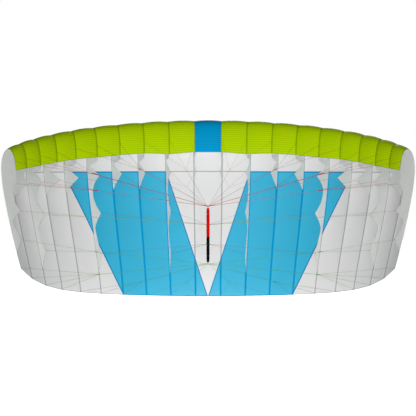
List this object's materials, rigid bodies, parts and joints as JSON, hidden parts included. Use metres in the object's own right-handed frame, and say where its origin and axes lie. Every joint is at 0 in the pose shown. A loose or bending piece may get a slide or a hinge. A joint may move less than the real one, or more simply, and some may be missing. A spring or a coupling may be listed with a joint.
{
  "type": "single-skin parawing with hand bar",
  "caption": "Curved cloth wing of billowed cells on toothed cloth ribs, with a wrapped leading edge band and lines that fan in to a short straight hand bar.",
  "frame": {"origin": "middle of the hand bar, on its axis", "axes": "+X to the wing tip on the holder's right, +Y from the bar to the canopy, +Z along the bar from the trailing edge to the leading edge"},
  "size_m": [3.447, 2.6932, 1.6023],
  "materials": {
    "white_cloth": "coated ripstop cloth, satin",
    "blue_cloth": "coated ripstop cloth, satin",
    "green_cloth": "coated ripstop cloth, satin",
    "rib_cloth": "stiff coated ripstop cloth, matte",
    "red_line": "braided line, matte",
    "olive_line": "braided line, matte",
    "grey_line": "braided line, matte",
    "green_line": "braided line, matte",
    "red_grip": "foam rubber grip, matte",
    "black_grip": "foam rubber grip, matte",
    "red_webbing": "woven webbing, matte",
    "black_webbing": "woven webbing, matte"
  },
  "bodies": {
    "root": {"gore_centre": "white_cloth", "gore_left_1": "white_cloth", "gore_left_2": "white_cloth", "gore_left_3": "white_cloth", "gore_left_4": "white_cloth", "gore_left_5": "white_cloth", "gore_left_6": "white_cloth", "gore_left_7": "white_cloth", "gore_left_8": "white_cloth", "gore_left_9": "white_cloth", "gore_right_1": "white_cloth", "gore_right_2": "white_cloth", "gore_right_3": "white_cloth", "gore_right_4": "white_cloth", "gore_right_5": "white_cloth", "gore_right_6": "white_cloth", "gore_right_7": "white_cloth", "gore_right_8": "white_cloth", "gore_right_9": "white_cloth", "band_left": "green_cloth", "band_centre": "blue_cloth", "band_right": "green_cloth", "rib_left_1": "rib_cloth", "rib_left_2": "rib_cloth", "rib_left_3": "rib_cloth", "rib_left_4": "rib_cloth", "rib_left_5": "rib_cloth", "rib_left_6": "rib_cloth", "rib_left_7": "rib_cloth", "rib_left_8": "rib_cloth", "rib_left_9": "rib_cloth", "rib_left_10": "rib_cloth", "rib_right_1": "rib_cloth", "rib_right_2": "rib_cloth", "rib_right_3": "rib_cloth", "rib_right_4": "rib_cloth", "rib_right_5": "rib_cloth", "rib_right_6": "rib_cloth", "rib_right_7": "rib_cloth", "rib_right_8": "rib_cloth", "rib_right_9": "rib_cloth", "rib_right_10": "rib_cloth", "front_lines_left": "red_line", "front_lines_right": "red_line", "middle_lines_left": "olive_line", "middle_lines_right": "olive_line", "back_lines_left": "grey_line", "back_lines_right": "grey_line", "rear_lines_left": "green_line", "rear_lines_right": "green_line", "grip_front": "red_grip", "grip_rear": "black_grip", "cap_front": "red_grip", "cap_rear": "black_grip", "tab_front": "red_webbing", "tab_rear": "black_webbing", "collar_c": "red_webbing", "collar_d": "black_webbing"}
  },
  "joints": []
}
